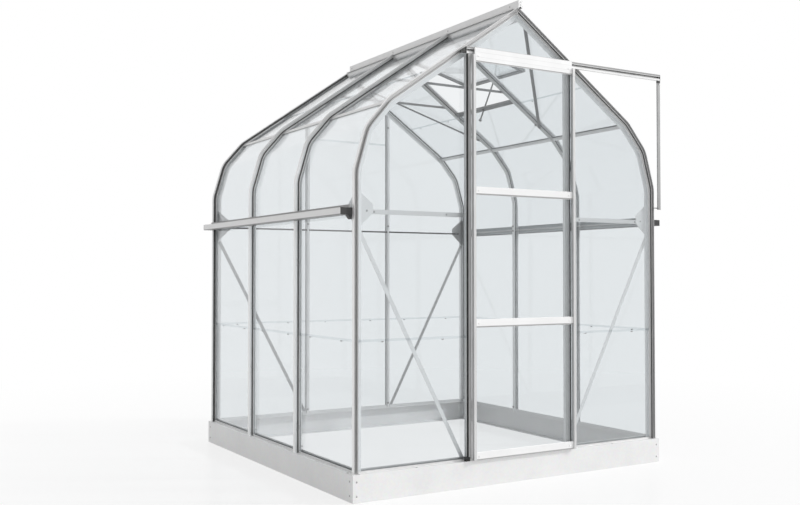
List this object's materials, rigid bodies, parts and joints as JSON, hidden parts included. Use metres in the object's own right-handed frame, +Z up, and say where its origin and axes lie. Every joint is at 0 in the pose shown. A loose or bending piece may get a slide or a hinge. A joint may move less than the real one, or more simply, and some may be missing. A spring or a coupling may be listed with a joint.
{
  "type": "greenhouse",
  "caption": "Small walk-in greenhouse with curved eaves, clear panes in an aluminium frame, a sliding gable door and an open roof vent, on a low metal plinth.",
  "frame": {"origin": "on the ground, under the middle of the whole box", "axes": "+Z up; the gable with the door faces -Y; +X is the side that the door slides to, and the side of the open roof vent"},
  "size_m": [2.024, 1.923, 2.4349],
  "materials": {
    "aluminium": "mill-finish extruded aluminium, satin",
    "rail_aluminium": "bright satin aluminium",
    "plinth_metal": "folded galvanised sheet",
    "clear_sheet": "clear polycarbonate sheet",
    "black_plastic": "moulded",
    "rubber": "extruded weather strip"
  },
  "bodies": {
    "house": {"plinth_front": "plinth_metal", "plinth_back": "plinth_metal", "plinth_left": "plinth_metal", "plinth_right": "plinth_metal", "plinth_corner_angles": "plinth_metal", "sills": "aluminium", "corner_bar_front_left": "aluminium", "corner_bar_front_right": "aluminium", "corner_bar_back_left": "aluminium", "corner_bar_back_right": "aluminium", "side_bars_left": "aluminium", "side_bars_right": "aluminium", "back_posts": "aluminium", "door_posts": "aluminium", "door_header": "aluminium", "gutter_left": "aluminium", "gutter_right": "aluminium", "gutter_end_caps": "black_plastic", "eaves_bars_front": "aluminium", "eaves_bars_back": "aluminium", "eaves_corner_plates": "aluminium", "gable_braces": "aluminium", "roof_braces": "aluminium", "collar_ties": "aluminium", "knee_purlins": "aluminium", "ridge": "aluminium", "wall_panes_left": "clear_sheet", "wall_panes_right": "clear_sheet", "eaves_panes_left": "clear_sheet", "eaves_panes_right": "clear_sheet", "roof_panes_left": "clear_sheet", "roof_panes_right": "clear_sheet", "gable_panes_front": "clear_sheet", "gable_panes_back": "clear_sheet", "vent_frame": "aluminium", "vent_pane": "clear_sheet", "vent_sill": "aluminium", "vent_stay": "aluminium", "door_track": "aluminium", "track_end_post": "aluminium", "door_seals": "rubber"},
    "door": {"door_stiles": "aluminium", "door_top_rail": "rail_aluminium", "door_rails": "rail_aluminium", "door_panes": "clear_sheet", "door_gliders": "black_plastic"}
  },
  "joints": [
    {"name": "door_slide", "type": "slide", "parent": "house", "child": "door", "axis": [1, 0, 0], "range_m": [-0.016, 0.6]}
  ]
}
